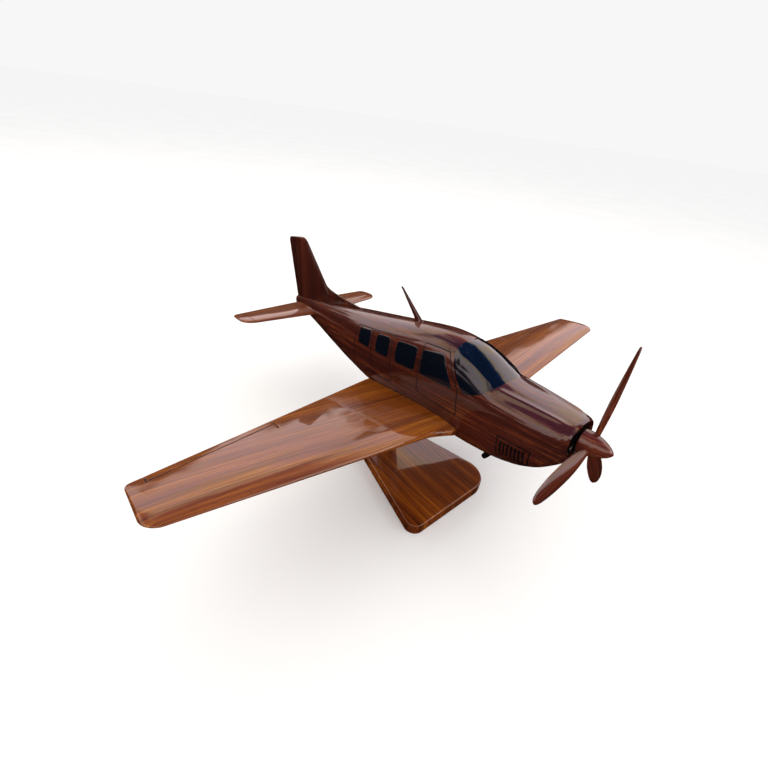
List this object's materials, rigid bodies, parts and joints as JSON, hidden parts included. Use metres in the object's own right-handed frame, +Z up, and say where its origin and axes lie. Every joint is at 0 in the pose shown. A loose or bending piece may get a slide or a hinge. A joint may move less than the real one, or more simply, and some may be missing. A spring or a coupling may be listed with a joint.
{
  "type": "desktop aeroplane model",
  "caption": "carved hardwood desk model of a low-wing light aeroplane with a turning propeller, set on the upright pin of a tapered wooden stand",
  "frame": {"origin": "middle of the underside of the stand's base board", "axes": "+X to the model's port side, -Y the way the nose points, +Z up"},
  "size_m": [0.425, 0.3577, 0.1843],
  "materials": {
    "fuselage": "gloss lacquer over dark red hardwood",
    "wing_starboard": "gloss lacquer over red-brown hardwood",
    "wing_port": "gloss lacquer over red-brown hardwood",
    "wing_dowels": "plain pale dowel",
    "tailplane_starboard": "gloss lacquer",
    "tailplane_port": "gloss lacquer",
    "tail_dowels": "plain pale dowel",
    "fin": "gloss lacquer",
    "fin_dowels": "plain pale dowel",
    "antenna": "gloss lacquer",
    "windshield": "gloss black",
    "windows_starboard": "gloss black",
    "windows_port": "gloss black",
    "exhaust_stubs": "black lacquer",
    "nose_bush": "turned brass",
    "spinner": "gloss lacquer",
    "blade_1": "gloss lacquer",
    "blade_2": "gloss lacquer",
    "blade_3": "gloss lacquer",
    "prop_axle": "ground steel rod",
    "thrust_washer": "plain brass",
    "belly_ferrule": "turned brass",
    "support_pin": "ground steel rod",
    "stand_arm": "gloss lacquer",
    "stand_base": "gloss lacquer",
    "arm_screws": "plain steel"
  },
  "bodies": {
    "stand": {"stand_base": "stand_base", "stand_arm": "stand_arm", "arm_screws": "arm_screws"},
    "pin": {"support_pin": "support_pin"},
    "model": {"fuselage": "fuselage", "wing_starboard": "wing_starboard", "wing_port": "wing_port", "wing_dowels": "wing_dowels", "tailplane_starboard": "tailplane_starboard", "tailplane_port": "tailplane_port", "tail_dowels": "tail_dowels", "fin": "fin", "fin_dowels": "fin_dowels", "antenna": "antenna", "windshield": "windshield", "windows_starboard": "windows_starboard", "windows_port": "windows_port", "exhaust_stubs": "exhaust_stubs", "nose_bush": "nose_bush", "belly_ferrule": "belly_ferrule"},
    "propeller": {"spinner": "spinner", "blade_1": "blade_1", "blade_2": "blade_2", "blade_3": "blade_3", "prop_axle": "prop_axle", "thrust_washer": "thrust_washer"}
  },
  "joints": [
    {"name": "display_swivel", "type": "hinge", "parent": "stand", "child": "pin", "pos_m": [0, 0.008, 0.0714], "axis": [0, 0, 1], "continuous": true},
    {"name": "lift_off", "type": "slide", "parent": "pin", "child": "model", "axis": [0, 0, 1], "range_m": [0, 0.024]},
    {"name": "propeller_spin", "type": "hinge", "parent": "model", "child": "propeller", "pos_m": [0, -0.13442, 0.12874], "axis": [0, 0.9925, -0.1219], "continuous": true}
  ]
}
